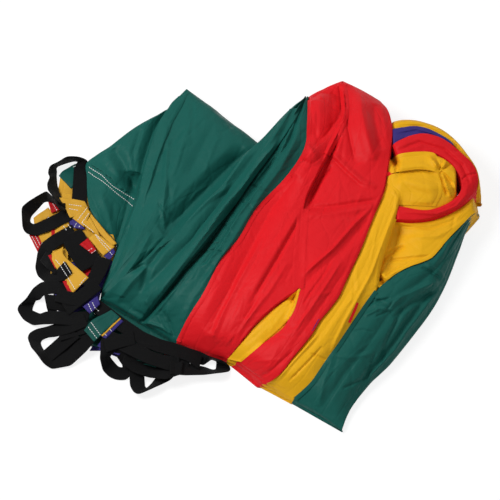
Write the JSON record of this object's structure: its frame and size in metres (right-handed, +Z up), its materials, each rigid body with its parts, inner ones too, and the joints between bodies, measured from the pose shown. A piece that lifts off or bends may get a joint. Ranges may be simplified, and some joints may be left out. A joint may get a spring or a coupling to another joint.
{
  "type": "play parachute",
  "caption": "Round fabric play parachute with coloured gores and webbing grip handles, loosely folded into a low bundle.",
  "frame": {"origin": "centre of the bundle's footprint, on the floor that it lies on", "axes": "+Z up; +X from the handles towards the rolled gores; +Y from the front edge to the back"},
  "size_m": [0.763, 0.6293, 0.1],
  "materials": {
    "green_nylon": "dark green nylon taffeta with a soft sheen",
    "red_nylon": "bright red nylon taffeta with a soft sheen",
    "yellow_nylon": "golden yellow nylon taffeta with a soft sheen",
    "blue_nylon": "deep blue nylon taffeta with a soft sheen",
    "black_webbing": "matt black woven polypropylene webbing"
  },
  "bodies": {
    "bundle": {"blue_gore_gather": "blue_nylon", "blue_gore_roll": "blue_nylon", "blue_hem_1": "blue_nylon", "blue_hem_2": "blue_nylon", "blue_hem_3": "blue_nylon", "green_gore_gather": "green_nylon", "green_gore_hem_flap": "green_nylon", "green_gore_left": "green_nylon", "green_gore_middle": "green_nylon", "green_gore_right": "green_nylon", "green_hem_1": "green_nylon", "green_hem_2": "green_nylon", "green_hem_3": "green_nylon", "handle_10": "black_webbing", "handle_11": "black_webbing", "handle_12": "black_webbing", "handle_9": "black_webbing", "red_gore_left": "red_nylon", "red_gore_right": "red_nylon", "red_gore_roll": "red_nylon", "red_hem_1": "red_nylon", "red_hem_2": "red_nylon", "red_hem_3": "red_nylon", "yellow_gore_core": "yellow_nylon", "yellow_gore_gather": "yellow_nylon", "yellow_gore_panel": "yellow_nylon", "yellow_gore_roll": "yellow_nylon", "yellow_gore_sliver": "yellow_nylon", "yellow_gore_strip": "yellow_nylon", "yellow_hem_1": "yellow_nylon", "yellow_hem_2": "yellow_nylon", "yellow_hem_3": "yellow_nylon"},
    "handle_1_body": {"handle_1": "black_webbing"},
    "handle_2_body": {"handle_2": "black_webbing"},
    "handle_3_body": {"handle_3": "black_webbing"},
    "handle_4_body": {"handle_4": "black_webbing"},
    "handle_5_body": {"handle_5": "black_webbing"},
    "handle_6_body": {"handle_6": "black_webbing"},
    "handle_7_body": {"handle_7": "black_webbing"},
    "handle_8_body": {"handle_8": "black_webbing"}
  },
  "joints": [
    {"name": "handle_1_lift", "type": "hinge", "parent": "bundle", "child": "handle_1_body", "pos_m": [-0.29152, 0.1157, 0.0232], "axis": [0.9909, -0.1346, 0], "range_deg": [0, 75]},
    {"name": "handle_2_lift", "type": "hinge", "parent": "bundle", "child": "handle_2_body", "pos_m": [-0.31976, 0.06014, 0.0232], "axis": [0, 1, 0], "range_deg": [0, 75]},
    {"name": "handle_3_lift", "type": "hinge", "parent": "bundle", "child": "handle_3_body", "pos_m": [-0.31976, -0.00295, 0.0232], "axis": [0, 1, 0], "range_deg": [0, 75]},
    {"name": "handle_4_lift", "type": "hinge", "parent": "bundle", "child": "handle_4_body", "pos_m": [-0.31224, -0.06573, 0.0232], "axis": [-0.2116, 0.9774, 0], "range_deg": [0, 75]},
    {"name": "handle_5_lift", "type": "hinge", "parent": "bundle", "child": "handle_5_body", "pos_m": [-0.2791, -0.12653, 0.0232], "axis": [-0.7206, 0.6934, 0], "range_deg": [0, 75]},
    {"name": "handle_6_lift", "type": "hinge", "parent": "bundle", "child": "handle_6_body", "pos_m": [-0.22945, -0.16436, 0.0232], "axis": [-0.9049, 0.4257, 0], "range_deg": [0, 75]},
    {"name": "handle_7_lift", "type": "hinge", "parent": "bundle", "child": "handle_7_body", "pos_m": [-0.17193, -0.18555, 0.0232], "axis": [-0.9557, 0.2943, 0], "range_deg": [0, 75]},
    {"name": "handle_8_lift", "type": "hinge", "parent": "bundle", "child": "handle_8_body", "pos_m": [-0.12418, -0.19292, 0.0232], "axis": [0.0924, -0.9957, 0], "range_deg": [0, 75]}
  ]
}
